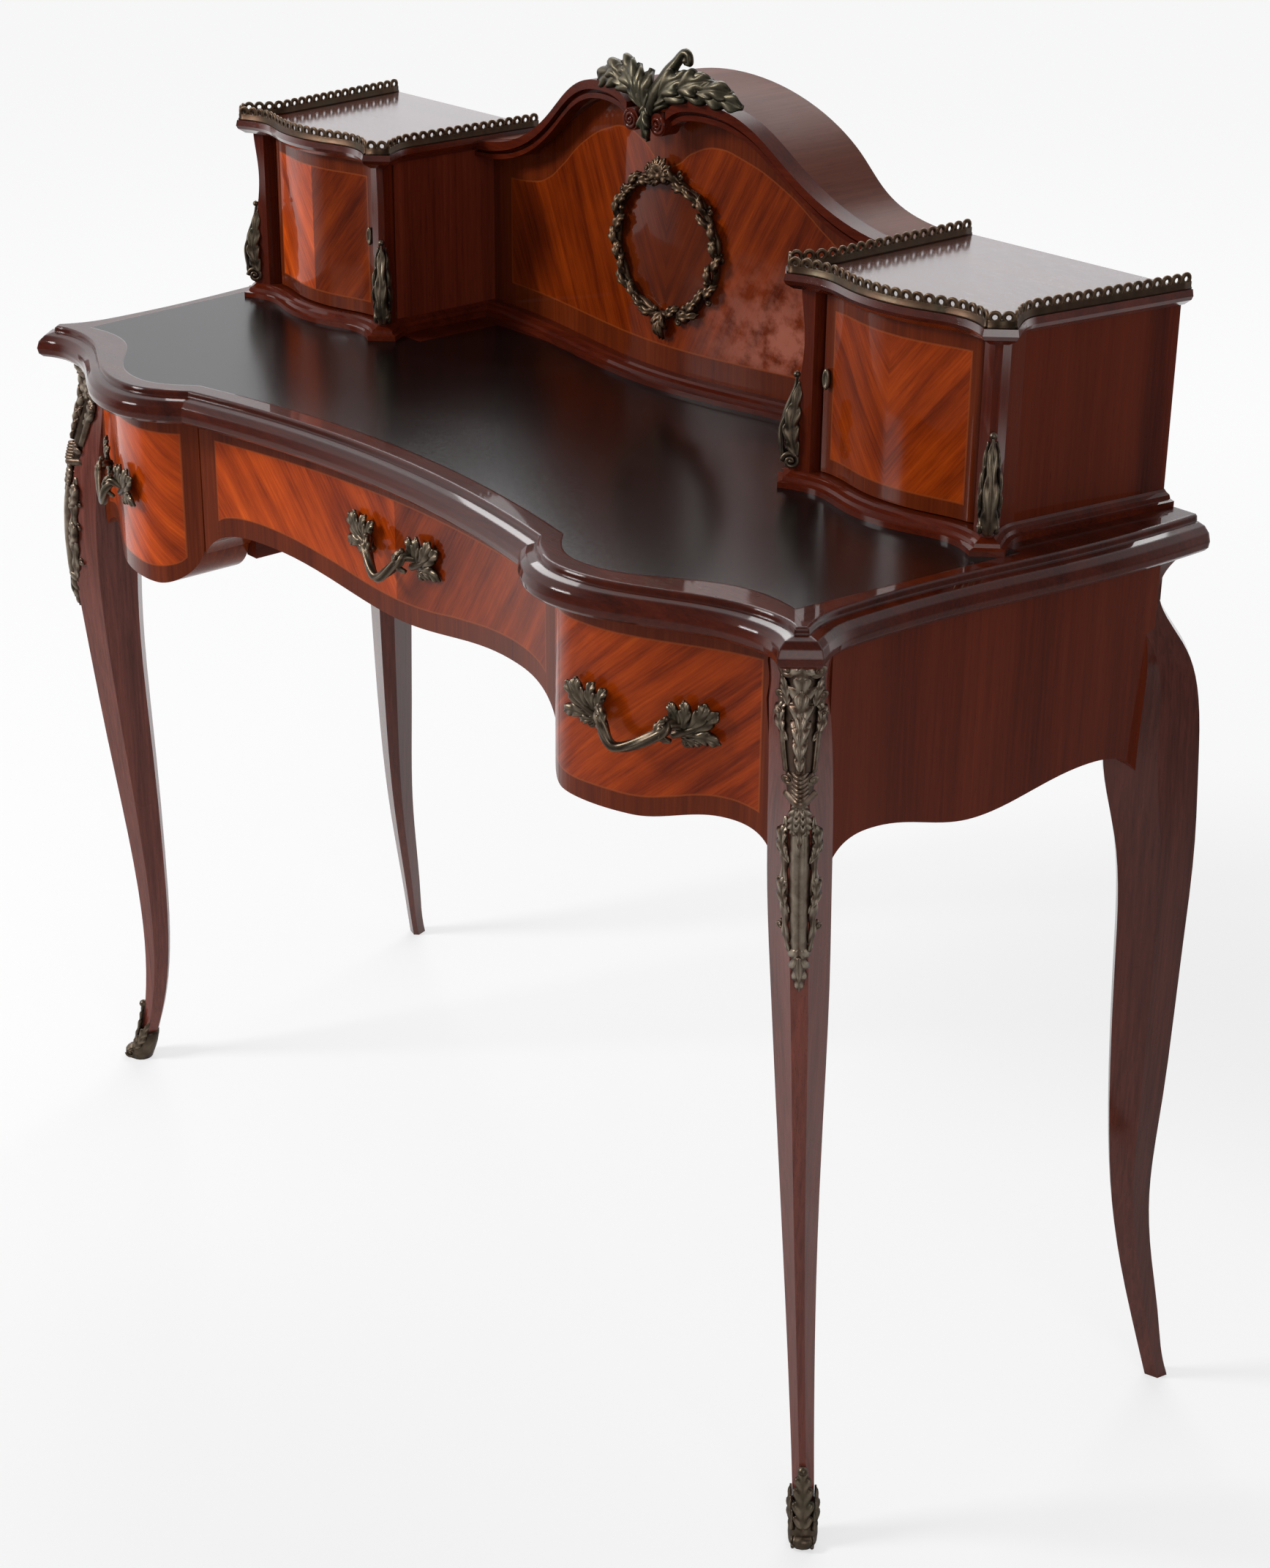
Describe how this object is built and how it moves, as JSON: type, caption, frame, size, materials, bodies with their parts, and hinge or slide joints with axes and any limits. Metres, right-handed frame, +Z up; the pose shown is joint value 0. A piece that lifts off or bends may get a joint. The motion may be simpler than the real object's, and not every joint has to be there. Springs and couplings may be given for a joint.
{
  "type": "writing desk",
  "caption": "Lady's writing desk with a serpentine top, drawers, cabriole legs, small bow-fronted cabinets with doors and galleries, and an arched back.",
  "frame": {"origin": "on the floor under the middle of the bounding box", "axes": "+Z up, +X to the sitter's right hand side of the desk as seen from the front, the front with the drawers faces -Y"},
  "size_m": [1.0376, 0.472, 1.0218],
  "materials": {
    "mahogany": "polished dark mahogany",
    "veneer": "polished kingwood and tulipwood veneer",
    "carcass": "plain planed oak",
    "leather": "worn black leather",
    "bronze": "aged gilt bronze",
    "brass": "plain brass"
  },
  "bodies": {
    "desk": {"desk_top": "mahogany", "apron_left": "mahogany", "apron_right": "mahogany", "apron_back": "mahogany", "plinth": "mahogany", "arch_board": "mahogany", "crest_moulding": "mahogany", "leg_front_left": "mahogany", "leg_front_right": "mahogany", "leg_back_left": "mahogany", "leg_back_right": "mahogany", "cabinet_left_cornice": "mahogany", "cabinet_left_outer_side": "mahogany", "cabinet_left_inner_side": "mahogany", "cabinet_left_pilasters": "mahogany", "cabinet_right_cornice": "mahogany", "cabinet_right_outer_side": "mahogany", "cabinet_right_inner_side": "mahogany", "cabinet_right_pilasters": "mahogany", "middle_panel": "veneer", "middle_back": "carcass", "partition_left": "carcass", "partition_right": "carcass", "drawer_runners": "carcass", "cabinet_left_back": "carcass", "cabinet_right_back": "carcass", "leather_panel": "leather", "wreath": "bronze", "crest_ornament": "bronze", "leg_mount_left": "bronze", "leg_mount_right": "bronze", "sabot_left": "bronze", "sabot_right": "bronze", "cabinet_left_leaf_mounts": "bronze", "cabinet_left_gallery": "bronze", "cabinet_right_leaf_mounts": "bronze", "cabinet_right_gallery": "bronze", "cabinet_left_pivots": "brass", "cabinet_right_pivots": "brass"},
    "drawer_left": {"drawer_left_front": "veneer", "drawer_left_box": "carcass", "drawer_left_bottom": "carcass", "drawer_left_handle": "bronze"},
    "drawer_middle": {"drawer_middle_front": "veneer", "drawer_middle_box": "carcass", "drawer_middle_bottom": "carcass", "drawer_middle_handle": "bronze"},
    "drawer_right": {"drawer_right_front": "veneer", "drawer_right_box": "carcass", "drawer_right_bottom": "carcass", "drawer_right_handle": "bronze"},
    "door_left": {"cabinet_left_door": "veneer", "cabinet_left_door_pull": "bronze"},
    "door_right": {"cabinet_right_door": "veneer", "cabinet_right_door_pull": "bronze"}
  },
  "joints": [
    {"name": "drawer_left_slide", "type": "slide", "parent": "desk", "child": "drawer_left", "axis": [0, -1, 0], "range_m": [0, 0.2]},
    {"name": "drawer_middle_slide", "type": "slide", "parent": "desk", "child": "drawer_middle", "axis": [0, -1, 0], "range_m": [0, 0.2]},
    {"name": "drawer_right_slide", "type": "slide", "parent": "desk", "child": "drawer_right", "axis": [0, -1, 0], "range_m": [0, 0.2]},
    {"name": "door_left_hinge", "type": "hinge", "parent": "desk", "child": "door_left", "pos_m": [-0.4205, 0.039, 0.8315], "axis": [0, 0, -1], "range_deg": [0, 85]},
    {"name": "door_right_hinge", "type": "hinge", "parent": "desk", "child": "door_right", "pos_m": [0.4205, 0.039, 0.8315], "axis": [0, 0, 1], "range_deg": [0, 85]}
  ]
}
